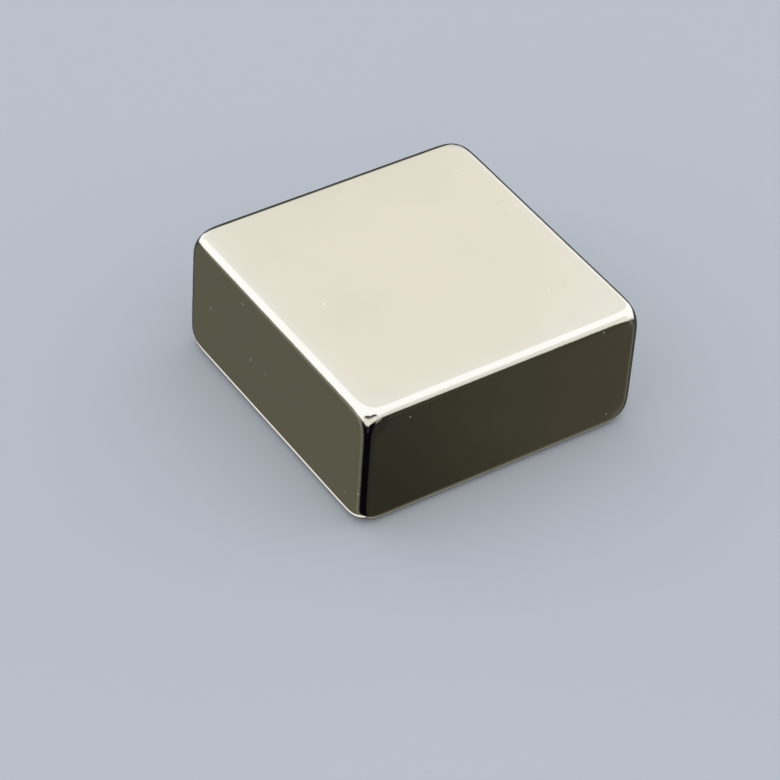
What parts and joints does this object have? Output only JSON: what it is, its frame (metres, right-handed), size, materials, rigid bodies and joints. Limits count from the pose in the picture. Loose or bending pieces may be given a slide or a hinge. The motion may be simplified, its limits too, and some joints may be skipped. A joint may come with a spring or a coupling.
{
  "type": "block magnet",
  "caption": "Square block magnet with flat pole faces, evenly rounded edges and tumbled, blunt corners, plated bright nickel, for holding steel or pairing with another magnet.",
  "frame": {"origin": "centre of the lower pole face, which the block rests on", "axes": "+Z through the thickness from the lower pole face to the upper one, +X and +Y square to the side faces"},
  "size_m": [0.045, 0.045, 0.02],
  "materials": {
    "nickel_plate": "bright nickel plate, slightly warm, mirror gloss with faint orange peel and a few pinhead specks"
  },
  "bodies": {
    "root": {"magnet_block": "nickel_plate"}
  },
  "joints": []
}
